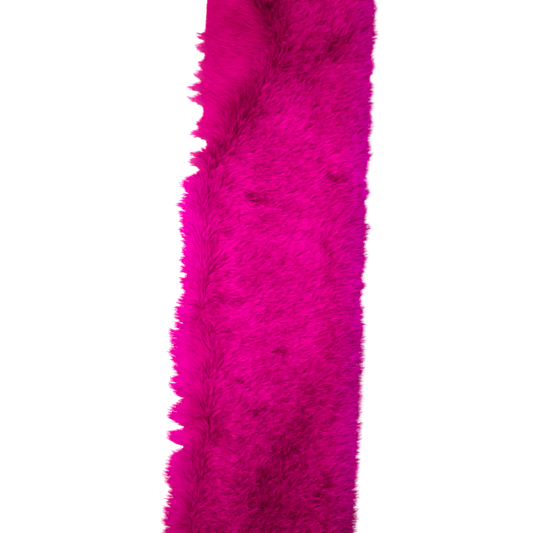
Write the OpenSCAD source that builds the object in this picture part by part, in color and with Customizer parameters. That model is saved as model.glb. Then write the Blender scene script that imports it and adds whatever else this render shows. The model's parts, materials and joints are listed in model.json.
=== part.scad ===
// Flat fur-pile boa, laid out straight on a table. Units: millimetres.
// Two long panels of knit-backed pile fabric, front and back, are sewn to each other along both
// long edges and closed across both ends. The strip is limp, so it is cut here into short
// segments that hinge on each other at the backing, where the real one bends.
// The strip lies along Y, +Z is up out of the front fur, and the origin is on the table
// under the middle of the strip.

/* [Strip] */
// Length from end to end
boa_l = 1500; // [900:10:2000]
// Width over the pile of both long edges
boa_w = 150; // [100:1:200]
// Width of the sewn backing, from one long seam to the other
backing_w = 122; // [70:1:150]
// How many segments bend on each other
segments = 13; // [7:2:13]

/* [Pile] */
// Height of the front pile above the backing
front_pile = 19; // [8:1:30]
// Height of the back pile below the backing, pressed by the strip's own weight
back_pile = 14; // [6:1:25]
// Width over which the front pile rounds down to the long edge
front_round = 30; // [10:1:45]
// Width over which the back pile rounds up to the long edge
back_round = 16; // [6:1:45]

/* [Bending] */
// Furthest that one segment tilts on the next, in degrees
bend_limit = 45; // [10:1:60]
// Clearance between two segments' backings
hinge_gap = 0.8; // [0.3:0.1:2]

/* [Sewing] */
// Thickness of the whipped seam cord that joins the two backings
seam_d = 2.4; // [1.5:0.1:3]

/* [Hidden] */
$fn = 32;
pitch = boa_l / segments;
last = segments - 1;
// Half of the wedge that opens between two segments, with a little room at the limit.
wedge_angle = bend_limit / 2 + 0.7;
// Distance from the strip's end to the sewing across it.
seam_inset = 8;
// How far a row of sewing stops short of a bend, so that its ends clear each other when tilted.
seam_end = hinge_gap / 2 + seam_d / 2 * tan(wedge_angle) + 0.3;
arc_steps = 10;
fuchsia = "#E0008C";
back_fuchsia = "#C8007C";
thread = "#A8005E";

function number(i) = str(i < 9 ? "0" : "", i + 1);
function named(stem) = [for (i = [0 : last]) str(stem, number(i))];

// Quarter of an ellipse from the long edge (at height 0) up to the level stretch of the pile.
function rounded_edge(h, reach) = [
    for (k = [0 : arc_steps])
        [boa_w / 2 - reach * (1 - cos(90 * k / arc_steps)), h * sin(90 * k / arc_steps)]
];

function mirrored(points) = [for (k = [len(points) - 1 : -1 : 0]) [-points[k][0], points[k][1]]];

// Section across one panel: flat along the backing, level over the pile, rounded at both edges.
module panel_section(h, reach) {
    edge = rounded_edge(h, reach);
    polygon(concat(edge, mirrored(edge)));
}

// Side view of one segment: full length at the backing, narrower at the pile's tips, so that
// two neighbours can fold towards each other. An end that has no neighbour stays upright.
module segment_side(i, h) {
    near = i == 0 ? 0 : 1;
    far = i == last ? 0 : 1;
    lean = h * tan(wedge_angle);
    polygon([
        [-pitch / 2 + near * hinge_gap / 2, 0],
        [pitch / 2 - far * hinge_gap / 2, 0],
        [pitch / 2 - far * (hinge_gap / 2 + lean), h],
        [-pitch / 2 + near * (hinge_gap / 2 + lean), h]
    ]);
}

// Middle of segment i along the strip.
function segment_y(i) = (i - last / 2) * pitch;

// Straight stretch of sewing along a long edge. The two panels have its groove.
module long_seam(i, side) {
    near = i == 0 ? 0 : seam_end;
    far = i == last ? 0 : seam_end;
    translate([side * backing_w / 2, segment_y(i) - pitch / 2 + near, back_pile])
        rotate([-90, 0, 0])
            cylinder(d = seam_d, h = pitch - near - far);
}

// Straight stretch of sewing across an end, between the two long seams.
module end_seam(side) {
    translate([-(backing_w - seam_d) / 2, side * (boa_l / 2 - seam_inset), back_pile])
        rotate([0, 90, 0])
            cylinder(d = seam_d, h = backing_w - seam_d);
}

// One segment of one panel, with the pile standing to height h above the backing.
module fur_panel(i, h, reach) {
    intersection() {
        rotate([90, 0, 0])
            linear_extrude(height = pitch, center = true)
                panel_section(h, reach);
        rotate([90, 0, 90])
            linear_extrude(height = boa_w + 2, center = true)
                segment_side(i, h);
    }
}

module sewing_of(i) {
    long_seam(i, -1);
    long_seam(i, 1);
    if (i == 0) end_seam(-1);
    if (i == last) end_seam(1);
}

module front_fur(i) {
    color(fuchsia)
        difference() {
            translate([0, segment_y(i), back_pile]) fur_panel(i, front_pile, front_round);
            sewing_of(i);
        }
}

module back_fur(i) {
    color(back_fuchsia)
        difference() {
            translate([0, segment_y(i), back_pile])
                mirror([0, 0, 1]) fur_panel(i, back_pile, back_round);
            sewing_of(i);
        }
}

module left_seam(i) {
    color(thread) long_seam(i, -1);
}

module right_seam(i) {
    color(thread) long_seam(i, 1);
}

module near_end_seam() {
    color(thread) end_seam(-1);
}

module far_end_seam() {
    color(thread) end_seam(1);
}

for (i = [0 : last]) {
    front_fur(i);
    back_fur(i);
    left_seam(i);
    right_seam(i);
}
near_end_seam();
far_end_seam();
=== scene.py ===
# A flat faux-fur boa, laid out straight: two long panels of knit-backed acrylic pile, sewn to each
# other back to back. The strip lies along Y with its front fur up. Lengths are in metres.
import json
import math

import bpy
import numpy as np
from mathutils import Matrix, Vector, noise

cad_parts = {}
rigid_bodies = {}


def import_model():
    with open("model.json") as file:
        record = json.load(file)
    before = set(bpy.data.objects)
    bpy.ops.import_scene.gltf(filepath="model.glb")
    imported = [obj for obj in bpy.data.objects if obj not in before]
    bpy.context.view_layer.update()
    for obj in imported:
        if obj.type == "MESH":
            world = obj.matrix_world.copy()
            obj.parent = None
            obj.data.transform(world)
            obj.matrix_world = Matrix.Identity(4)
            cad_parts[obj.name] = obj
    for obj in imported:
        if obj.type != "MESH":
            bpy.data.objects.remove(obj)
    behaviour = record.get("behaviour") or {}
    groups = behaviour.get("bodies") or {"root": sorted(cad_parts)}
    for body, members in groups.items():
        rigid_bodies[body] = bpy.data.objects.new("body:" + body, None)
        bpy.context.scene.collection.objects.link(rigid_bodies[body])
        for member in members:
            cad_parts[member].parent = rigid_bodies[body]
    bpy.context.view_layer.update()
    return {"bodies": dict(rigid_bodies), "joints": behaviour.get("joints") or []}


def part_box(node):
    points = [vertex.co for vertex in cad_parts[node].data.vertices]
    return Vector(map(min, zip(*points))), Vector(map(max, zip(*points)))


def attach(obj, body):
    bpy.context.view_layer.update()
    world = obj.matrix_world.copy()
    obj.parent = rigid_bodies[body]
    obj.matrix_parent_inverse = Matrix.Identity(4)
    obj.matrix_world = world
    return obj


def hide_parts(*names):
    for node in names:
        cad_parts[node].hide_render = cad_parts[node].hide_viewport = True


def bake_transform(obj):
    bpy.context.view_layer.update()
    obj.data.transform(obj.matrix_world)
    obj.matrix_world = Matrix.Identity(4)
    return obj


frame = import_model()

MM = 0.001

# ---- Camera, table and light -------------------------------------------------------------------
# A copy stand: the camera looks straight down on the middle of the strip, which runs out of view
# at both ends. The table is a white diffuser, and big soft lamps leave hardly any shadow.

VIEW_ACROSS = 421 * MM  # how much of the table one side of the view takes in
LENS = 100.0
SENSOR = 36.0
STRIP_LEAN = math.radians(2.5)  # the strip's top leans to the right in view
AIM = Vector((-3.6 * MM, 0.0, 20 * MM))
TABLE_SIZE = 8.0
TABLE_DROP = 0.2 * MM  # the table's top lies this far below the strip's lowest plane
SOFTBOX_SIZE = 0.9

camera = bpy.data.objects.new("copy_camera", bpy.data.cameras.new("copy_camera"))
camera.data.lens = LENS
camera.data.sensor_width = SENSOR
camera.data.clip_start = 0.01
camera.location = AIM + Vector((0, 0, VIEW_ACROSS * LENS / SENSOR))
camera.rotation_euler = (0, 0, STRIP_LEAN)
bpy.context.scene.collection.objects.link(camera)
bpy.context.scene.camera = camera


def linear(hex_colour):
    """An sRGB hex colour as the linear RGBA that shaders take."""
    parts = [int(hex_colour[i : i + 2], 16) / 255 for i in (1, 3, 5)]
    return (*(c / 12.92 if c <= 0.04045 else ((c + 0.055) / 1.055) ** 2.4 for c in parts), 1.0)


def add_node(tree, kind, settings=(), inputs=()):
    """A node with its settings, and its inputs fed by other nodes' sockets or set to values."""
    made = tree.nodes.new(kind)
    for name, value in dict(settings).items():
        setattr(made, name, value)
    for name, value in dict(inputs).items():
        socket = made.inputs[name]
        if isinstance(value, bpy.types.NodeSocket):
            tree.links.new(value, socket)
        else:
            socket.default_value = value
    return made


def new_material(name):
    """An empty node material and its tree, with the shader and the output in place."""
    material = bpy.data.materials.new(name)
    material.use_nodes = True
    tree = material.node_tree
    tree.nodes.clear()
    shader = add_node(tree, "ShaderNodeBsdfPrincipled")
    add_node(tree, "ShaderNodeOutputMaterial", inputs={"Surface": shader.outputs[0]})
    return material, tree, shader


# Opal acrylic light table: smooth, white and faintly lit from below.
opal, opal_tree, opal_shader = new_material("opal_acrylic_light_table")
opal_shader.inputs["Base Color"].default_value = linear("#FAFAFA")
opal_shader.inputs["Roughness"].default_value = 0.6
opal_shader.inputs["Specular IOR Level"].default_value = 0.0
opal_shader.inputs["Emission Color"].default_value = linear("#FFFFFF")
opal_shader.inputs["Emission Strength"].default_value = 0.35

bpy.ops.mesh.primitive_plane_add(size=TABLE_SIZE, location=(0, 0, -TABLE_DROP))
table = bpy.context.object
table.name = "light_table"
table.data.materials.append(opal)

world = bpy.data.worlds.new("white_studio")
bpy.context.scene.world = world
world.use_nodes = True
world.node_tree.nodes["Background"].inputs["Color"].default_value = linear("#FFFFFF")
world.node_tree.nodes["Background"].inputs["Strength"].default_value = 0.75


def soft_lamp(name, place, power):
    """A large square area lamp that faces the middle of the strip."""
    lamp = bpy.data.objects.new(name, bpy.data.lights.new(name, "AREA"))
    lamp.data.shape = "SQUARE"
    lamp.data.size = SOFTBOX_SIZE
    lamp.data.energy = power
    lamp.location = place
    lamp.rotation_euler = (-Vector(place)).to_track_quat("-Z", "Y").to_euler()
    bpy.context.scene.collection.objects.link(lamp)


soft_lamp("left_softbox", place=(-1.1, 0.3, 1.3), power=26)
soft_lamp("right_softbox", place=(1.3, -0.3, 1.2), power=12)
bpy.context.scene.view_settings.view_transform = "Standard"

# ---- Knit backings -----------------------------------------------------------------------------
# Each panel is one long cut of pile fabric on a fine weft-knit backing, 0.7 mm thick. The two
# backings lie against each other, pile outwards. A panel is divided into stretches, each from the
# middle of one segment to the middle of the next, across the hinge between them.

joints = sorted(frame["joints"], key=lambda j: j["pos_m"][1])
bodies = sorted(frame["bodies"])
hinge_ys = [j["pos_m"][1] for j in joints]
pitch = hinge_ys[1] - hinge_ys[0]
backing_z = joints[0]["pos_m"][2]
backing_half = abs(sum(corner[0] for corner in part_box("left_seam_07")) / 2)
backing_end = sum(corner[1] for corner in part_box("far_end_seam")) / 2

BACKING_THICK = 0.7 * MM
BACKING_GAP = 0.05 * MM  # between the panels' common face and each backing
BACKING_STEP = 5 * MM
WALE = 1.3 * MM  # spacing of the knit's ribs
COURSE = 1.0 * MM  # spacing of its rows
WAVE_SCALE = 0.31416  # the wave texture's scale for one band to a metre
ROLL = 3.2  # how far the shaggy edge rolls under along its stretch, in mm
ROLLED_UNDER = [(94, 7, 5.0), (76, 4, 1.5), (120, 5, 1.0)]  # more: place along, half length, depth in mm


def smooth(low, high, x):
    """0 below low, 1 above high, and a smooth rise between."""
    t = np.clip((x - low) / (high - low), 0.0, 1.0)
    return t * t * (3 - 2 * t)


def hill(x, centre, half):
    """1 at the centre, falling away like a bell on both sides."""
    return np.exp(-(((x - centre) / half) ** 2))


def shaggy_half(y):
    """Distance from the strip's middle line to the backing's shaggy edge, which rolls under a little
    along one stretch and more at a few places."""
    place = np.asarray(y) / MM
    rolled = ROLL * smooth(66, 78, place) * (1 - smooth(215, 260, place))
    for centre, half, depth in ROLLED_UNDER:
        rolled = rolled + depth * hill(place, centre, half)
    return backing_half - rolled * MM


def stretches(end):
    """For each hinge: its number, and where its stretch begins and ends on a panel cut at end."""
    for i, y in enumerate(hinge_ys):
        start = -end if i == 0 else y - pitch / 2
        stop = end if i == len(hinge_ys) - 1 else y + pitch / 2
        yield i, start, stop


def panel_nodes(stem, i):
    """The CAD segments that a stretch stands for: its near one, and on the last stretch the far one."""
    numbers = [i + 1, i + 2] if i == len(hinge_ys) - 1 else [i + 1]
    return [f"{stem}_{n:02d}" for n in numbers]


def bend_with_strip(piece, i):
    """Applies the piece's transform to its mesh."""
    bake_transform(piece)


def mesh_object(name, verts, faces, material):
    """A new mesh in the scene, with its material."""
    mesh = bpy.data.meshes.new(name)
    mesh.from_pydata(verts, [], faces)
    mesh.update()
    mesh.materials.append(material)
    made = bpy.data.objects.new(name, mesh)
    bpy.context.scene.collection.objects.link(made)
    return made


def knit_backing(name, start, stop, side, material):
    """A thin closed slab of knit, with rows close enough for it to bend smoothly."""
    rows = round((stop - start) / BACKING_STEP) + 1
    columns = round(2 * backing_half / BACKING_STEP) + 1
    inner = backing_z + side * BACKING_GAP
    outer = inner + side * BACKING_THICK
    verts = [
        (x, y, z)
        for z in (min(inner, outer), max(inner, outer))
        for y in np.linspace(start, stop, rows)
        for x in np.linspace(-shaggy_half(y), backing_half, columns)
    ]
    layer = rows * columns
    faces = []
    for r in range(rows - 1):
        for c in range(columns - 1):
            a = r * columns + c
            quad = (a, a + 1, a + columns + 1, a + columns)
            faces.append(tuple(reversed(quad)))
            faces.append(tuple(v + layer for v in quad))
    rim = list(range(columns))
    rim += [r * columns + columns - 1 for r in range(1, rows)]
    rim += [(rows - 1) * columns + c for c in range(columns - 2, -1, -1)]
    rim += [r * columns for r in range(rows - 2, 0, -1)]
    for a, b in zip(rim, rim[1:] + rim[:1]):
        faces.append((a, b, b + layer, a + layer))
    return mesh_object(name, verts, faces, material)


def maths_of(tree):
    """Short names for one tree's maths nodes: on numbers, on vectors, and a vector times a number."""

    def maths(operation, a, b=0.0):
        return add_node(tree, "ShaderNodeMath", {"operation": operation}, {0: a, 1: b}).outputs[0]

    def vectors(operation, a, b=(0, 0, 0)):
        return add_node(tree, "ShaderNodeVectorMath", {"operation": operation}, {0: a, 1: b}).outputs[0]

    def scaled(vector, by):
        return add_node(tree, "ShaderNodeVectorMath", {"operation": "SCALE"}, {0: vector, 3: by}).outputs[0]

    return maths, vectors, scaled


def shade_hollows(tree, shader, level, dark, light, relief, depth):
    """Colour and bump from one level: dark and low at 0, light and high at 1, so the dark is painted shade
    in the hollows.
    """
    ramp = add_node(tree, "ShaderNodeValToRGB", inputs={0: level})
    ramp.color_ramp.elements[0].color = linear(dark)
    ramp.color_ramp.elements[1].color = linear(light)
    bump = add_node(tree, "ShaderNodeBump", inputs={"Strength": relief, "Distance": depth, "Height": level})
    tree.links.new(ramp.outputs[0], shader.inputs["Base Color"])
    tree.links.new(bump.outputs[0], shader.inputs["Normal"])


def knit_material():
    """Weft-knit polyester, dyed with the pile: fine ribs crossed by rows of stitches, dull, with painted
    shade between the yarns."""
    material, tree, shader = new_material("fuchsia_weft_knit")
    maths = maths_of(tree)[0]
    place = add_node(tree, "ShaderNodeTexCoord").outputs["Object"]

    def bands(direction, spacing):
        wave = {"wave_type": "BANDS", "bands_direction": direction, "wave_profile": "SIN"}
        inputs = {"Vector": place, "Scale": WAVE_SCALE / spacing, "Distortion": 0.0}
        return add_node(tree, "ShaderNodeTexWave", wave, inputs).outputs["Fac"]

    loops = maths("MULTIPLY", bands("X", WALE), bands("Y", COURSE))
    # the dark end of the ramp is painted shade between the yarns
    shade_hollows(tree, shader, loops, dark="#5E0034", light="#C0107A", relief=0.6, depth=0.2 * MM)
    shader.inputs["Roughness"].default_value = 0.9
    shader.inputs["Sheen Weight"].default_value = 0.2
    return material


knit = knit_material()
for i, start, stop in stretches(backing_end):
    for stem, side in (("front", 1), ("back", -1)):
        backing = knit_backing(f"{stem}_backing_{i + 1:02d}", start, stop, side, knit)
        bend_with_strip(backing, i)
        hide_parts(*panel_nodes(f"{stem}_fur", i))

# ---- Whipped seams -----------------------------------------------------------------------------
# One polyester thread closes each long edge, and another each end: it goes over the edges of both
# backings and through them, stitch after stitch. It is hidden in the pile.

STITCH = 3.4 * MM
LOOP_RADIUS = 0.95 * MM
THREAD_WIDTH = 0.5 * MM
THREAD_TWIST = 1.2 * MM  # length of one turn of the thread's plies
STEPS_PER_STITCH = 10
THREAD_SIDES = 6
SEAM_POINTS = 24  # along each run, enough to follow the shaggy edge


def geometry_tree(name, inputs):
    """A geometry-nodes tree with named inputs, and the sockets that their values come from."""
    tree = bpy.data.node_groups.new(name, "GeometryNodeTree")
    tree.interface.new_socket("Geometry", in_out="OUTPUT", socket_type="NodeSocketGeometry")
    tree.interface.new_socket("Geometry", in_out="INPUT", socket_type="NodeSocketGeometry")
    for label, kind, value in inputs:
        socket = tree.interface.new_socket(label, in_out="INPUT", socket_type="NodeSocket" + kind)
        if value is not None:
            socket.default_value = value
    return tree, add_node(tree, "NodeGroupInput").outputs


def kept(tree, geometry, label, value):
    """The geometry with a value kept on its points for the material to read."""
    return add_node(
        tree,
        "GeometryNodeStoreNamedAttribute",
        {"data_type": "FLOAT", "domain": "POINT"},
        {"Geometry": geometry, "Name": label, "Value": value},
    ).outputs[0]


def finish_tree(tree, geometry, material):
    """The tree's end: its geometry takes on the material and goes out."""
    inputs = {"Geometry": geometry, "Material": material}
    dyed = add_node(tree, "GeometryNodeSetMaterial", inputs=inputs)
    add_node(tree, "NodeGroupOutput", inputs={0: dyed.outputs[0]})


def set_inputs(modifier, values):
    """Sets a geometry-nodes modifier's inputs, each found by its name."""
    for item in modifier.node_group.interface.items_tree:
        if item.in_out == "INPUT" and item.name in values:
            modifier[item.identifier] = values[item.name]


def plain_mesh(made):
    """The object's evaluated mesh in place of its live modifiers."""
    bpy.context.view_layer.update()
    graph = bpy.context.evaluated_depsgraph_get()
    evaluated = made.evaluated_get(graph)
    mesh = bpy.data.meshes.new_from_object(evaluated, preserve_all_data_layers=True, depsgraph=graph)
    made.modifiers.clear()
    old = made.data
    made.data = mesh
    bpy.data.meshes.remove(old)
    mesh.name = made.name


def whip_stitch_tree():
    """Geometry nodes for a whipped seam: a thread that winds round a line of edges, one turn to a
    stitch."""
    tree, given = geometry_tree(
        "whip_stitch",
        (
            ("Stitch", "Float", STITCH),
            ("Loop Radius", "Float", LOOP_RADIUS),
            ("Thread Width", "Float", THREAD_WIDTH),
            ("Material", "Material", None),
        ),
    )
    maths, vectors, scaled = maths_of(tree)
    line = add_node(tree, "GeometryNodeMeshToCurve", inputs={"Mesh": given["Geometry"]})
    step = maths("DIVIDE", given["Stitch"], STEPS_PER_STITCH)
    fine = add_node(
        tree, "GeometryNodeResampleCurve", {"mode": "LENGTH"}, {"Curve": line.outputs[0], "Length": step}
    )
    along = add_node(tree, "GeometryNodeSplineParameter").outputs["Length"]
    turn = maths("MULTIPLY", maths("DIVIDE", along, given["Stitch"]), 2 * math.pi)
    ahead = add_node(tree, "GeometryNodeInputTangent").outputs[0]
    sideways = vectors("NORMALIZE", vectors("CROSS_PRODUCT", ahead, (0, 0, 1)))
    out = vectors("ADD", scaled(sideways, maths("COSINE", turn)), scaled((0, 0, 1), maths("SINE", turn)))
    measured = kept(tree, fine.outputs[0], "along", along)
    wound = add_node(
        tree,
        "GeometryNodeSetPosition",
        inputs={"Geometry": measured, "Offset": scaled(out, given["Loop Radius"])},
    )
    round_thread = add_node(
        tree,
        "GeometryNodeCurvePrimitiveCircle",
        inputs={"Resolution": THREAD_SIDES, "Radius": maths("MULTIPLY", given["Thread Width"], 0.5)},
    )
    tube = add_node(
        tree,
        "GeometryNodeCurveToMesh",
        inputs={"Curve": wound.outputs[0], "Profile Curve": round_thread.outputs[0], "Fill Caps": True},
    )
    real = add_node(tree, "GeometryNodeRealizeInstances", inputs={0: tube.outputs[0]})
    finish_tree(tree, real.outputs[0], given["Material"])
    return tree


def thread_material():
    """Spun polyester sewing thread: its twisted plies give it fine slanting grooves, with painted shade in
    them, and a soft shine.
    """
    material, tree, shader = new_material("fuchsia_polyester_thread")
    maths = maths_of(tree)[0]
    along = add_node(tree, "ShaderNodeAttribute", {"attribute_name": "along"}).outputs["Fac"]
    band = maths("SINE", maths("MULTIPLY", along, 2 * math.pi / THREAD_TWIST))
    level = add_node(tree, "ShaderNodeMapRange", inputs={"Value": band, "From Min": -1.0}).outputs[0]
    # the dark end of the ramp is painted shade in the grooves between the plies
    shade_hollows(tree, shader, level, dark="#860048", light="#CC0080", relief=0.5, depth=0.08 * MM)
    shader.inputs["Roughness"].default_value = 0.55
    shader.inputs["Sheen Weight"].default_value = 0.3
    return material


whip_stitch = whip_stitch_tree()
thread = thread_material()


def sew(name, line, body):
    """One run of whipped thread along a line of points, riding on a segment."""
    run = mesh_object(name + "_thread", line, [], thread)
    run.data.edges.add(len(line) - 1)
    run.data.edges.foreach_set("vertices", [v for a in range(len(line) - 1) for v in (a, a + 1)])
    modifier = run.modifiers.new("whip_stitch", "NODES")
    modifier.node_group = whip_stitch
    set_inputs(modifier, {"Material": thread})
    plain_mesh(run)
    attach(run, body)
    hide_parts(name)


for n, body in enumerate(bodies, start=1):
    for edge in ("left_seam", "right_seam"):
        low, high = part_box(f"{edge}_{n:02d}")
        ys = np.linspace(max(low[1], -backing_end), min(high[1], backing_end), SEAM_POINTS)
        xs = -shaggy_half(ys) if edge == "left_seam" else np.full(len(ys), backing_half)
        sew(f"{edge}_{n:02d}", [(x, y, backing_z) for x, y in zip(xs, ys)], body)
ends = (("near_end_seam", -backing_end, bodies[0]), ("far_end_seam", backing_end, bodies[-1]))
for name, y, body in ends:
    low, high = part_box(name)
    sew(name, [(low[0], y, backing_z), (high[0], y, backing_z)], body)

# ---- Combing of the pile -----------------------------------------------------------------------
# Handling has combed the pile. It parts along a line near the shaggy edge, which wanders to the
# middle at the far end of the stretch that shows best, and lies right and left from there. Where
# it parts or stands on end, and in its marks, its colour is painted darker for the shade deep in the pile.
# Places are in millimetres on the strip.

PARTING = [  # place along and place across
    (-260, -50), (-195, -50), (-165, -46), (-125, -39), (-108, -39), (-85, -47), (-60, -50), (50, -50),
    (72, -45), (92, -42), (122, -27), (148, -6), (168, 5), (188, -1), (208, -12), (300, -48),
]
PARTING_SHADE_AT = [  # place along the parting and how deep the painted shade along it is, from 0 to 1
    (-190, 0.2), (-135, 0.5), (-100, 0.1), (60, 0.1), (95, 0.5), (120, 0.5), (150, 0.25), (210, 0.4),
    (290, 0.2),
]
PAINTED_SHADE_PATCHES = [  # painted shade where the pile lies deeper: centre across and along, half size across and along, depth
    (-14, 207, 8, 13, 0.11),
    (-6, 189, 9, 14, 0.11),
    (9, 166, 13, 15, 0.07),
    (18, 148, 12, 9, 0.08),
    (40, 174, 12, 9, 0.13),
    (-26, 120, 16, 20, 0.14),
    (-44, 94, 7, 11, 0.03),
    (-8, 42, 26, 16, 0.07),
    (-24, -22, 14, 16, 0.05),
    (32, 190, 50, 62, 0.12),
    (-40, 190, 40, 50, 0.15),
    (-46, 0, 8, 90, 0.06),
    (48, -60, 16, 20, 0.05),
    (35, 110, 60, 40, 0.04),
    (12, -235, 62, 100, 0.10),
    (0, -235, 200, 95, 0.135),
    (40, -105, 38, 60, 0.04),
    (52, 10, 14, 60, 0.03),
]
TURNS = [  # centre across and along, half size across and along, turn of the pile in radians
    (4, -185, 26, 48, 1.0),
    (-36, -150, 16, 26, -1.1),
    (28, 182, 30, 26, 0.55),
    (38, -5, 14, 60, 0.5),
    (-22, 55, 14, 14, -0.8),
    (-30, -28, 16, 10, -0.5),
]
HAND_MARKS = [  # points along the mark, its half width and its depth from 0 to 1, which also sets the painted shade in it
    ([(46, -163), (51, -172)], 2.4, 0.6),
    ([(24, 160), (38, 173), (50, 181)], 5, 0.3),
    ([(38, 73), (44, 69), (54, 70)], 2.0, 0.8),
    ([(3, -66), (9, -67)], 2.4, 0.7),
    ([(-12, -117), (-5, -115)], 2.4, 0.8),
    ([(42, -180), (49, -182)], 2.8, 1.0),
    ([(-36, -54), (-29, -58)], 2.2, 0.5),
    ([(-23, 57), (-15, 51), (-8, 53)], 2.6, 0.5),
    ([(36, 20), (44, 8), (42, -14)], 3.0, 0.28),
    ([(-44, -24), (-36, -30), (-24, -29)], 2.2, 0.3),
    ([(-30, -96), (-20, -92)], 2.6, 0.35),
]
COMBED_BY_HAND = 225.0  # the marks above lie within this of the middle
STANDS_RIGHT_OF = [  # a fold's line, as PARTING: the pile beyond it was brushed up and stands
    (-235, -12), (-190, -11), (-172, -6), (-150, 3), (-112, 20), (-86, 32),
]
WISPS = [  # tufts that stand out from the shaggy edge: place along, reach
    (179, 8), (170, 10), (157, 6), (148, 10), (138, 17), (129, 13), (110, 5), (102, 12), (84, 11),
    (78, 14), (46, 5), (-58, 4), (-71, 4), (-122, 3), (-172, 4), (-198, 4),
]
FRINGE_GAPS = [  # gaps in it: place along, half length, depth
    (-10, 1.6, 6), (-24, 5, 3), (8, 5, 2), (-90, 3, 5), (-109, 5, 9), (-131, 3.4, 17), (-147, 4, 17),
]
NEAT_DIPS = [(172, 4, 4.0), (150, 6, 1.8), (70, 3, 2.2), (-6, 3, 1.5), (-160, 4, 1.5)]  # as FRINGE_GAPS
MARK_STEPS = 3  # straight pieces in a mark that isn't listed
MARK_REACH = 60  # no mark changes the pile further along than this from its first point
WISP_HALF = 2.3  # half of a wisp's width
FRINGE_REACH = 12.6  # how far the tips stand past the backing at the shaggy edge,
BARE_REACH = 1.2  # where that edge is rolled under,
NEAT_REACH = 7.2  # and past the underfur at the neat edge
LENGTH = 9.2  # of the locks
SILKY_LENGTH = 5.8  # how much longer they are on the shaggy side
LEAN = 0.84  # share of a lock's direction that lies in the panel's plane
BRIGHT = 0.90  # place on the dye's colour ramp, from 0 to 1
BACK_PARTING = -46.0  # the back's pile parts along a straight line at this place across, and is painted this much darker along it, as shade, from 0 to 1
BACK_PARTING_SHADE = 0.2  # and opens this far, as PARTING_SHADE_AT


def waves(x, y, size, seed):
    """Smooth noise from about -1 to 1 at each place, with waves of about the given size."""
    shift = Vector((seed * 17.3, seed * 5.1, seed * 9.7))
    return np.array([noise.noise(Vector((a / size, b / size, 0.0)) + shift) for a, b in zip(x, y)])


def scattered_marks(seed, count, skip):
    """Marks like those made by hand, at random places no nearer the middle than skip."""
    dice = np.random.default_rng(seed)
    marks = []
    for _ in range(count):
        x, y = dice.uniform(-45, 50), dice.uniform(skip, 720) * dice.choice([-1, 1])
        heading, bend = dice.uniform(0, math.pi), dice.uniform(-0.9, 0.9)
        length = dice.choice([dice.uniform(5, 9), dice.uniform(18, 42)])
        line = [(x, y)]
        for step in range(MARK_STEPS):
            turn = heading + bend * step
            x += length / MARK_STEPS * math.cos(turn)
            y += length / MARK_STEPS * math.sin(turn)
            line.append((x, y))
        marks.append((line, 2.2 + 0.14 * length, dice.uniform(0.15, 0.5)))
    return marks


FRONT_MARKS = HAND_MARKS + scattered_marks(3, 46, COMBED_BY_HAND + 15)
BACK_MARKS = scattered_marks(4, 60, 0)


def away_from(x, y, line, half_width):
    """1 on a mark's line, falling to 0 at its sides, and the direction away from it at each place."""
    near = np.full(len(x), 1e9)
    out = np.zeros((2, len(x)))
    for (ax, ay), (bx, by) in zip(line, line[1:]):
        dx, dy = bx - ax, by - ay
        t = np.clip(((x - ax) * dx + (y - ay) * dy) / (dx * dx + dy * dy), 0, 1)
        ox, oy = x - ax - t * dx, y - ay - t * dy
        distance = np.hypot(ox, oy)
        closer = distance < near
        near = np.where(closer, distance, near)
        out = np.where(closer, np.stack([ox, oy]) / np.maximum(distance, 0.5), out)
    return 1 - smooth(0.2 * half_width, 1.4 * half_width, near), out


def fringe(y):
    """How far the tips stand past the backing's shaggy edge, at places along the strip."""
    far = smooth(COMBED_BY_HAND - 10, COMBED_BY_HAND + 40, np.abs(y))
    flat = np.zeros(len(y))
    reach = FRINGE_REACH + 2.6 * waves(flat, y, 12, 21) + 5.2 * waves(flat, y, 3.4, 22)
    reach += 1.4 * smooth(-40, -62, y) - 1.5 * hill(y, 0, 45)
    reach -= far * np.maximum(0, 11 * waves(flat, y, 40, 23))
    bare = smooth(60, 72, y) * (1 - smooth(215, 260, y))
    reach = reach * (1 - bare) + (BARE_REACH + 1.0 * waves(flat, y, 6, 24)) * bare
    for place, out in WISPS:
        reach += out * hill(y, place, WISP_HALF)
    for place, half, depth in FRINGE_GAPS:
        reach -= depth * hill(y, place, half)
    return np.maximum(reach, 0.8)


def neat_edge(y):
    """How far the tips stand past the underfur's neat edge: clipped short, in shallow scallops."""
    flat = np.zeros(len(y))
    reach = NEAT_REACH + 3.6 * waves(flat, y, 5, 25) + 2.2 * waves(flat, y, 14, 26)
    reach += 2.8 * smooth(-20, -60, y)
    for place, half, depth in NEAT_DIPS:
        reach -= depth * hill(y, place, half)
    return np.maximum(reach, 1.0)


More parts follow.
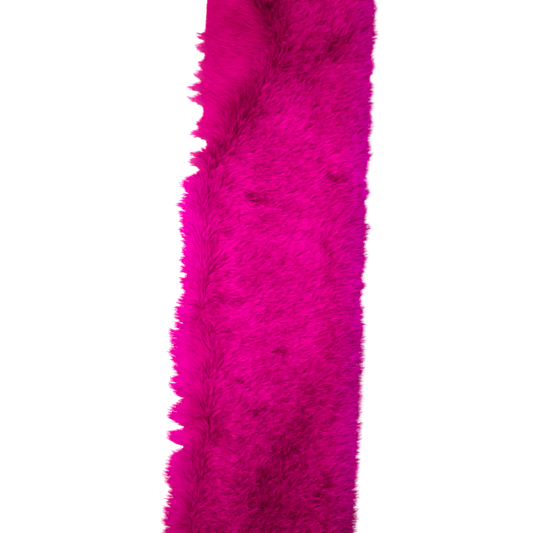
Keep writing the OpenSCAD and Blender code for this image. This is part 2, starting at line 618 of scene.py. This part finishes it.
def combed(x, y, front):
    """How the pile lies at places on a panel: its direction in the plane, how far it lies over, its
    length, its brightness with painted shade and light in it, and how curly it is."""
    own = 0 if front else 40  # the back has waves of its own
    line_x = np.interp(y, *zip(*PARTING)) if front else np.full(len(y), BACK_PARTING)
    parting_shade = np.interp(y, *zip(*PARTING_SHADE_AT)) if front else np.full(len(y), BACK_PARTING_SHADE)
    offset = x - line_x - 13 * waves(x * 0, y, 40, 4 + own) - 7 * waves(x, y, 12, 12 + own)
    to_right = np.tanh(offset / 9)
    coarse = smooth(-16, 6, offset)  # the shaggy side lies smooth, and the rest is curly
    heading = 0.25 + 0.42 * waves(x, y, 38, 1 + own)
    ruffled = 0.45 * waves(x, y, 15, 2 + own) + 0.50 * waves(x, y, 5.0, 3 + own)
    heading += (0.3 + 0.7 * coarse) * ruffled
    if front:
        for tx, ty, half_x, half_y, angle in TURNS:
            heading += angle * hill(x, tx, half_x) * hill(y, ty, half_y)
    across = np.cos(heading) * to_right
    upward = 0.45 + 0.9 * waves(x * 0, y, 55, 13 + own)
    along = np.sin(heading) * np.abs(to_right) + upward * (1 - 0.7 * np.abs(to_right))
    silky = (1 - coarse) * (1 - 0.45 * smooth(125, 150, y))
    ridge = np.exp(-((offset / 8) ** 2))
    lean = LEAN + 0.08 * waves(x, y, 11, 6 + own) - 0.16 * coarse
    length = LENGTH + 1.3 * waves(x, y, 9, 7 + own) + SILKY_LENGTH * silky + 2.2 * smooth(48, 64, x)
    bright = BRIGHT - 0.02 * silky + 0.04 * waves(x, y, 30, 8 + own) + 0.03 * waves(x, y, 8, 9 + own)
    # painted light: the shaggy edge's fringe, lit through from the table, is made lighter, and the neat
    # edge a little
    bright += 0.06 * (1 - smooth(-66, -50, x)) + 0.01 * smooth(40, 60, x)
    # painted shade along the parting line
    bright -= (0.13 * parting_shade + 0.01) * ridge
    marks = FRONT_MARKS if front else BACK_MARKS
    for points, half_width, depth in marks:
        first = points[0][1]
        if first + MARK_REACH <= y.min() or first - MARK_REACH >= y.max():
            continue
        within, out = away_from(x, y, points, half_width)
        pull = depth * within
        across += 1.1 * pull * out[0]
        along += 1.1 * pull * out[1]
        # painted shade where the mark parts the pile
        bright -= 0.30 * pull
        lean -= 0.10 * pull
        length -= 3.0 * pull
    if front:
        past = x - np.interp(y, *zip(*STANDS_RIGHT_OF)) + 2 * waves(x, y, 6, 14)
        upright = smooth(-1.5, 2.5, past) * (1 - smooth(5, 52, past)) * smooth(-235, -185, y)
        upright *= 1 - 0.8 * smooth(-140, -85, y) - 0.2 * smooth(-85, -70, y)
        # painted shade beyond the fold, where the pile stands up
        bright -= 0.085 * upright
        lean -= 0.12 * upright
        wander_x, wander_y = 8 * waves(x, y, 22, 10), 10 * waves(x, y, 24, 11)
        # painted shade patches, darkening the colour
        for sx, sy, half_x, half_y, depth in PAINTED_SHADE_PATCHES:
            bright -= depth * hill(x + wander_x, sx, half_x) * hill(y + wander_y, sy, half_y)
    curl = (0.30 + 0.70 * coarse) * np.clip(0.60 + 4.2 * (BRIGHT - bright), 0.4, 1.7)
    return across, along, lean, length, bright, curl


# ---- Front pile --------------------------------------------------------------------------------
# Acrylic plush pile, dyed fuchsia, knitted into the backing. It stands close, about 20 mm long, lies
# over at a slant and gathers into pointed tufts: a dense underfur, with locks growing out of it.

ACROSS_STEPS = 76
ALONG_STEP = 2.0 * MM
FUR_END = backing_end + 2 * MM
PLUMP = 2.6  # exponent of the section's superellipse: fuller than an ellipse
END_ROUND = 20 * MM
CORNER_ROUND = 14 * MM
NEAT_OUT = 7.4 * MM  # how far the underfur bulges past the neat edge
SEAM_ROOM = 1.0 * MM
TABLE_GAP = 0.4 * MM
BACK_FRINGE = 0.7  # the back pile's share of the fringe: the front pile hangs over it
SIDE_SHARE = 0.92  # how much of a lock's length reaches outwards at the long edges,
END_SHARE = 0.95  # and at the ends
EDGE_LEAN = 0.93  # how far the pile lies over at the long edges,
EDGE_PULL = 1.8  # how strongly it turns outwards there,
EDGE_DROOP = 0.22  # and how much it hangs
END_PULL = 2.4  # how strongly it turns outwards at the ends
SKIN_SHARE = 0.12  # of the texture map's height goes to the underfur, and the rest to the locks
MAP_BANDS = 60
LOCK_MAP_WIDTH = 0.0011
MAP_MARGIN = 0.004
FRONT_UNDER = 10.0 * MM  # height of the underfur
FRONT_DENSITY = 1.9e6  # locks to a square metre
LOCK_WIDTH = 0.68 * MM


def outline(ys, side):
    """The underfur's half widths, left and right, at places along the strip, and how far the tips
    stand past it on the left."""
    tips_out = fringe(ys / MM) * MM
    if side < 0:
        tips_out = BACK_FRINGE * tips_out
    left_out = SEAM_ROOM + 0.3 * MM + 0.4 * np.maximum(tips_out - 2 * MM, 0)
    corner = 1 - np.clip((FUR_END - np.abs(ys)) / CORNER_ROUND, 0, 1)
    inset = CORNER_ROUND * (1 - np.sqrt(1 - corner**2))
    left_half = shaggy_half(ys) + left_out - inset
    right_half = backing_half + NEAT_OUT - inset
    return left_half, right_half, tips_out - left_out


def keep_lie(mesh, verts, left_half, right_half, room_left, side, seed):
    """Keeps on each point of the underfur how the locks that root there lie, and their colour with painted
    shade and light in it.
    """
    x, y = verts[:, 0] / MM, verts[:, 1] / MM
    across, along, lean, length, bright, curl = combed(x, y, side > 0)
    in_left = left_half / MM + x  # how far inside the underfur's own edge
    in_right = right_half / MM - x
    in_end = FUR_END / MM - np.abs(y)
    length = np.minimum(length, 1.5 + np.maximum(0, (in_left + room_left / MM) / SIDE_SHARE))
    length = np.minimum(length, (in_right + neat_edge(y)) / SIDE_SHARE)
    length = np.minimum(length, (in_end + 9) / END_SHARE)

    lay = np.stack([across, along, np.zeros(len(x))], axis=1)
    for inside, sign in ((in_left, -1), (in_right, 1)):
        edge = 1 - smooth(0, 9, inside)
        lay[:, 0] += sign * EDGE_PULL * edge
        lay[:, 2] -= side * EDGE_DROOP * edge
        lean = lean + (EDGE_LEAN - lean) * edge
    lay[:, 1] += np.sign(y) * END_PULL * (1 - smooth(0, 16, in_end))
    thin = np.zeros(len(x))
    if side > 0:
        left_edge = 1 - smooth(0, 12, in_left)
        for place, out in WISPS:  # the locks of a wisp lean together to a point, and their tips are painted pale for the light let through them
            gap = y - place
            lay[:, 1] -= left_edge * np.clip(gap / 5, -1, 1) * hill(gap, 0, 4.5) * min(out / 9, 1.2)
            sparse = np.clip((out - 4.5) / 5, 0, 1) * (1 - smooth(0, 8, in_left))
            thin = np.maximum(thin, sparse * hill(gap, 0, 3.4))
    slump = waves(x * 0, y, 5, seed + 4) - waves(x * 0, y + 1.5, 5, seed + 4)
    for inside in (in_left, in_right):
        lay[:, 1] -= 1.6 * slump * (1 - smooth(0, 8, inside))
    lay /= np.linalg.norm(lay, axis=1, keepdims=True)

    for label, vectors in (("lay", lay), ("root", verts)):
        mesh.attributes.new(label, "FLOAT_VECTOR", "POINT").data.foreach_set("vector", vectors.ravel())
    for label, values in (
        ("lean", lean),
        ("reach", length * MM),
        ("bright", bright),
        ("curl", curl),
        ("clump", np.maximum(curl, 1.3 * (1 - smooth(0, 9, in_left)))),
        # violet tint at both edges: painted colour of the light let through the fibres from the table
        ("cool", smooth(42, 71, x) + 0.5 * (1 - smooth(-68, -44, x))),
        ("thin", thin),
        ("t", np.full(len(x), 0.25)),
        ("edge", np.zeros(len(x))),
        ("chance", np.full(len(x), 0.5)),
        ("tuft", np.full(len(x), 0.6)),
        ("stroke", np.zeros(len(x))),
    ):
        mesh.attributes.new(label, "FLOAT", "POINT").data.foreach_set("value", values)


def underfur(name, start, stop, side, under, material):
    """The dense lower part of the pile on one stretch: a closed body whose skin the locks grow from."""
    steps = max(2, round((stop - start) / ALONG_STEP))
    count = ACROSS_STEPS + 3  # points of a ring: those on the skin, and two beside the backing
    ys = np.linspace(start, stop, steps + 1)
    angles = math.pi * (1 - np.linspace(0, 1, ACROSS_STEPS + 1))
    ring_x = np.sign(np.cos(angles)) * np.abs(np.cos(angles)) ** (2 / PLUMP)
    ring_z = np.maximum(np.sin(angles), 0) ** (2 / PLUMP)
    left_half, right_half, room_left = outline(ys, side)
    from_end = FUR_END - np.abs(ys)
    rise = (1 - (1 - np.clip((from_end + MM) / END_ROUND, 0, 1)) ** PLUMP) ** (1 / PLUMP)

    x = np.where(ring_x[None, :] < 0, left_half[:, None], right_half[:, None]) * ring_x[None, :]
    inner_left = -np.minimum(shaggy_half(ys) + SEAM_ROOM, left_half - 0.2 * MM)
    inner_right = np.minimum(backing_half + SEAM_ROOM, right_half - 0.2 * MM)
    x = np.concatenate([x, inner_right[:, None], inner_left[:, None]], axis=1).ravel()
    y = np.repeat(ys, count)
    lift = np.tile(np.concatenate([ring_z, [0, 0]]), steps + 1) * np.repeat(rise, count)
    seed = 30 if side > 0 else 70
    lumps = 0.8 * waves(x / MM, y / MM, 9, seed) + 1.6 * waves(x / MM, y / MM, 27, seed + 1)
    z = lift * (under + lumps * MM)
    z[ACROSS_STEPS + 1 :: count] = BACKING_GAP + BACKING_THICK
    z[ACROSS_STEPS + 2 :: count] = BACKING_GAP + BACKING_THICK
    verts = np.stack([x, y, backing_z + side * z], axis=1)

    skin_ring = range(ACROSS_STEPS + 1)
    under_ring = [ACROSS_STEPS, ACROSS_STEPS + 1, ACROSS_STEPS + 2, 0]
    faces = []
    for ring in (skin_ring, under_ring):
        for r in range(steps):
            for c, d in zip(ring, ring[1:]):
                faces.append((r * count + c, r * count + d, (r + 1) * count + d, (r + 1) * count + c))
    faces.append(tuple(range(count - 1, -1, -1)))
    faces.append(tuple(steps * count + c for c in range(count)))
    if side < 0:
        faces = [tuple(reversed(f)) for f in faces]
    body = mesh_object(name, verts.tolist(), faces, material)

    grows = np.zeros(len(faces), dtype=np.float32)
    grows[: steps * ACROSS_STEPS] = 1
    grows[-2] = start < -backing_end
    grows[-1] = stop > backing_end
    body.data.attributes.new("grows", "FLOAT", "FACE").data.foreach_set("value", grows)
    each = [np.repeat(values, count) for values in (left_half, right_half, room_left)]
    keep_lie(body.data, verts, *each, side, seed)
    return body


def pile_lock(material):
    """One pointed lock of pile, one unit wide and one long, arched towards +Y. Attribute t runs from
    its root to its tip, and edge from one side to the other."""
    rings = [(0.0, 0.8, 0.0), (0.45, 1.0, 0.11), (1.0, 0.0, 0.0)]  # height, width, arch
    verts, heights, edges = [], [], []
    for height, width, arch in rings:
        for side in (-1, 1) if width else (0,):
            verts.append((side * width / 2, arch, height))
            heights.append(height)
            edges.append(side * width)
    made = mesh_object("pile_lock", verts, [(0, 1, 3, 2), (2, 3, 4)], material)
    made.data.attributes.new("t", "FLOAT", "POINT").data.foreach_set("value", heights)
    made.data.attributes.new("edge", "FLOAT", "POINT").data.foreach_set("value", edges)
    return made


def pile_tree():
    """Geometry nodes that grow pile on a skin: locks scattered over it, laid the way its points say
    and drawn together into tufts."""
    tree, given = geometry_tree(
        "pile",
        (
            ("Density", "Float", FRONT_DENSITY),
            ("Width", "Float", LOCK_WIDTH),
            ("Tuft Spacing", "Float", 1.35 * MM),
            ("Gather", "Float", 0.32),
            ("Tuft Turn", "Float", 0.75),
            ("Ruffle", "Float", 0.14),
            ("Stroke Spacing", "Float", 4.5 * MM),
            ("Seed", "Int", 0),
            ("Lock", "Object", None),
            ("Material", "Material", None),
        ),
    )
    maths, vectors, scaled = maths_of(tree)
    place = add_node(tree, "GeometryNodeInputPosition").outputs[0]

    def named(label, kind="FLOAT"):
        read = add_node(tree, "GeometryNodeInputNamedAttribute", {"data_type": kind}, {"Name": label})
        return read.outputs["Attribute"]

    def chance(low, high, offset, kind="FLOAT"):
        seed = maths("ADD", given["Seed"], offset)
        made = add_node(tree, "FunctionNodeRandomValue", {"data_type": kind}, {"Seed": seed})
        low_socket, high_socket = (s for s in made.inputs if s.enabled and s.name in ("Min", "Max"))
        low_socket.default_value, high_socket.default_value = low, high
        return next(s for s in made.outputs if s.enabled)

    def soft_noise(shift):
        where = vectors("ADD", scaled(place, maths("DIVIDE", 1.0, given["Stroke Spacing"])), shift)
        made = add_node(tree, "ShaderNodeTexNoise", inputs={"Vector": where, "Scale": 1.0, "Detail": 0.0})
        return maths("SUBTRACT", made.outputs[0], 0.5)

    scatter = add_node(
        tree,
        "GeometryNodeDistributePointsOnFaces",
        {"distribute_method": "RANDOM"},
        {
            "Mesh": given["Geometry"],
            "Selection": named("grows"),
            "Density": given["Density"],
            "Seed": given["Seed"],
        },
    )
    spaced = scaled(place, maths("DIVIDE", 1.0, given["Tuft Spacing"]))
    cells = add_node(
        tree, "ShaderNodeTexVoronoi", {"voronoi_dimensions": "3D"}, {"Vector": spaced, "Scale": 1.0}
    ).outputs
    curl = named("curl")
    clump = named("clump")
    to_middle = vectors("SUBTRACT", cells["Position"], spaced)
    gather = scaled(to_middle, maths("MULTIPLY", given["Gather"], clump))
    tuft_turn = vectors("SUBTRACT", cells["Color"], (0.5, 0.5, 0.5))
    tuft_turn = scaled(tuft_turn, maths("MULTIPLY", given["Tuft Turn"], curl))
    stray = chance((-1, -1, -1), (1, 1, 1), 1, "FLOAT_VECTOR")
    stray = scaled(stray, maths("MULTIPLY", given["Ruffle"], curl))
    lean = named("lean")
    upright = scaled(scatter.outputs["Normal"], maths("SUBTRACT", 1.0, lean))
    over = scaled(named("lay", "FLOAT_VECTOR"), lean)
    heading = vectors("ADD", upright, over)
    for part in (gather, tuft_turn, stray):
        heading = vectors("ADD", heading, part)
    aside = scaled(chance((-0.6, -0.6, -0.6), (0.6, 0.6, 0.6), 2, "FLOAT_VECTOR"), curl)
    facing = vectors("ADD", scatter.outputs["Normal"], aside)
    aimed = add_node(tree, "FunctionNodeAlignRotationToVector", {"axis": "Z"}, {"Vector": heading})
    turned = add_node(
        tree,
        "FunctionNodeAlignRotationToVector",
        {"axis": "Y", "pivot_axis": "Z"},
        {"Rotation": aimed.outputs[0], "Vector": facing},
    )
    cell_chances = add_node(tree, "ShaderNodeSeparateXYZ", inputs={0: cells["Color"]}).outputs
    uneven = maths("ADD", maths("MULTIPLY", maths("MULTIPLY", cell_chances[1], 0.40), clump), 0.78)
    reach = maths("MULTIPLY", maths("MULTIPLY", named("reach"), uneven), chance(0.70, 1.10, 3))
    width = maths("MULTIPLY", given["Width"], chance(0.6, 1.2, 4))
    size = add_node(tree, "ShaderNodeCombineXYZ", inputs={0: width, 1: reach, 2: reach})
    lock = add_node(tree, "GeometryNodeObjectInfo", inputs={"Object": given["Lock"]})
    points = kept(tree, scatter.outputs["Points"], "chance", chance(0.0, 1.0, 5))
    points = kept(tree, points, "tuft", maths("POWER", cell_chances[0], 0.5))
    # painted shade: thin dark lines between the tufts, kept as stroke for the material
    line = maths("SUBTRACT", 1.0, maths("MULTIPLY", maths("ABSOLUTE", soft_noise((0, 0, 0))), 16.0))
    broken = maths("MINIMUM", maths("MULTIPLY", maths("MAXIMUM", soft_noise((7, 3, 5)), 0.0), 9.0), 1.0)
    points = kept(tree, points, "stroke", maths("MULTIPLY", maths("MAXIMUM", line, 0.0), broken))
    grown = add_node(
        tree,
        "GeometryNodeInstanceOnPoints",
        inputs={
            "Points": points,
            "Instance": lock.outputs["Geometry"],
            "Rotation": turned.outputs[0],
            "Scale": size.outputs[0],
        },
    )
    real = add_node(tree, "GeometryNodeRealizeInstances", inputs={0: grown.outputs[0]})
    joined = add_node(tree, "GeometryNodeJoinGeometry")
    tree.links.new(real.outputs[0], joined.inputs[0])
    tree.links.new(given["Geometry"], joined.inputs[0])
    finish_tree(tree, joined.outputs[0], given["Material"])
    return tree


def pile_material(name):
    """Dyed acrylic pile, fuchsia, with painted shade: deep crimson between the tufts and towards the roots,
    fuchsia on the tips; a little more violet towards the edges and paler at the tips of the thin wisps,
    both painted for light let through them. Dull, with the soft bloom of fine fibre."""
    material, tree, shader = new_material(name)
    maths = maths_of(tree)[0]

    def read(label):
        return add_node(tree, "ShaderNodeAttribute", {"attribute_name": label}).outputs["Fac"]

    def mixed(blend, factor, colour, other):
        settings = {"data_type": "RGBA", "blend_type": blend}
        inputs = {"Factor": factor, "A": colour, "B": linear(other)}
        return add_node(tree, "ShaderNodeMix", settings, inputs).outputs[2]

    # painted shade: darker in the lines between tufts and towards the roots; chance and tuft vary the tone
    # at random
    change = maths("MULTIPLY", read("stroke"), -0.24)
    for label, middle, gain in (("t", 0.6, 0.24), ("chance", 0.5, 0.10), ("tuft", 0.667, 0.14)):
        change = maths("ADD", change, maths("MULTIPLY", maths("SUBTRACT", read(label), middle), gain))
    level = maths("ADD", read("bright"), maths("MULTIPLY", change, read("curl")))
    ramp = add_node(tree, "ShaderNodeValToRGB", inputs={0: level})
    stops = ramp.color_ramp.elements
    stops[0].position, stops[0].color = 0.35, linear("#590022")
    stops[1].position, stops[1].color = 1.0, linear("#FF00BF")
    for position, colour in ((0.56, "#8F003E"), (0.70, "#B2005A"), (0.84, "#D60080"), (0.92, "#EB009D")):
        stops.new(position).color = linear(colour)
    # painted light let through the edges: a violet tint
    violet = mixed("MULTIPLY", read("cool"), ramp.outputs[0], "#DCDCFF")
    # painted light let through the thin wisps: their tips turn pale
    near_tip = maths("MAXIMUM", maths("SUBTRACT", read("t"), 0.3), 0.0)
    pale = maths("MULTIPLY", read("thin"), maths("MULTIPLY", near_tip, 1.1))
    tree.links.new(mixed("MIX", pale, violet, "#FA70CA"), shader.inputs["Base Color"])
    shader.inputs["Roughness"].default_value = 0.8
    shader.inputs["Specular IOR Level"].default_value = 0.0
    shader.inputs["Sheen Weight"].default_value = 0.2
    shader.inputs["Sheen Roughness"].default_value = 0.5
    shader.inputs["Sheen Tint"].default_value = linear("#FF00A8")
    return material


fuchsia_pile = pile_material("fuchsia_acrylic_pile")
pile_nodes = pile_tree()
lock = pile_lock(fuchsia_pile)


def map_pile(mesh, start, stop):
    """A texture map for the pile: the underfur in plan at the foot of the map, and above it the locks,
    each a narrow upright strip at its root's place, so that no two neighbours share one."""

    def values(label, kind="value", wide=1):
        out = np.empty(len(mesh.vertices) * wide, np.float32)
        mesh.attributes[label].data.foreach_get(kind, out)
        return out.reshape(-1, wide) if wide > 1 else out

    root, t, edge = values("root", "vector", 3), values("t"), values("edge")
    across = np.clip(0.5 + root[:, 0] / (2.4 * backing_half), MAP_MARGIN, 1 - MAP_MARGIN)
    along = np.clip((root[:, 1] - start) / (stop - start), 0.0, 0.9999)
    band = np.floor(along * MAP_BANDS)
    u = across + LOCK_MAP_WIDTH * edge
    v = SKIN_SHARE + (1 - SKIN_SHARE) * (band + 0.1 + 0.8 * t) / MAP_BANDS
    is_skin = (edge == 0) & (t < 0.9)
    v = np.where(is_skin, MAP_MARGIN + (SKIN_SHARE - 3 * MAP_MARGIN) * along, v)
    corners = np.empty(len(mesh.loops), np.int32)
    mesh.loops.foreach_get("vertex_index", corners)
    uv = np.stack([u, v], axis=1)[corners].astype(np.float32)
    mesh.uv_layers.new(name="OFBake").data.foreach_set("uv", uv.ravel())


def grow_pile(name, start, stop, side, under, seed, density, width):
    """One stretch of pile: underfur and locks as one plain mesh, kept clear of the table."""
    pile = underfur(name, start, stop, side, under, fuchsia_pile)
    modifier = pile.modifiers.new("pile", "NODES")
    modifier.node_group = pile_nodes
    values = {"Density": density, "Width": width, "Seed": seed, "Lock": lock, "Material": fuchsia_pile}
    set_inputs(modifier, values)
    plain_mesh(pile)
    places = np.empty(len(pile.data.vertices) * 3, np.float32)
    pile.data.vertices.foreach_get("co", places)
    places[2::3] = np.maximum(places[2::3], TABLE_GAP)
    pile.data.vertices.foreach_set("co", places)
    map_pile(pile.data, start, stop)
    pile.data.shade_smooth()
    return pile


def fit_panel(pile, stem, i):
    """The pile stands for its segments, whose CAD parts are hidden, and its transform is applied to its
    mesh.
    """
    bend_with_strip(pile, i)
    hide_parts(*panel_nodes(f"{stem}_fur", i))


for i, start, stop in stretches(FUR_END):
    pile = grow_pile(
        f"front_pile_{i + 1:02d}", start, stop, 1, FRONT_UNDER, 11 + i, FRONT_DENSITY, LOCK_WIDTH
    )
    fit_panel(pile, "front", i)

# ---- Back pile ---------------------------------------------------------------------------------
# The same fabric turned over, its pile pressed flatter and sparser by the strip's own weight on
# whatever it lies on.

BACK_UNDER = 7.5 * MM
BACK_DENSITY = 0.6e6
BACK_LOCK_WIDTH = 1.3 * MM

for i, start, stop in stretches(FUR_END):
    pile = grow_pile(
        f"back_pile_{i + 1:02d}", start, stop, -1, BACK_UNDER, 51 + i, BACK_DENSITY, BACK_LOCK_WIDTH
    )
    fit_panel(pile, "back", i)
bpy.data.objects.remove(lock)
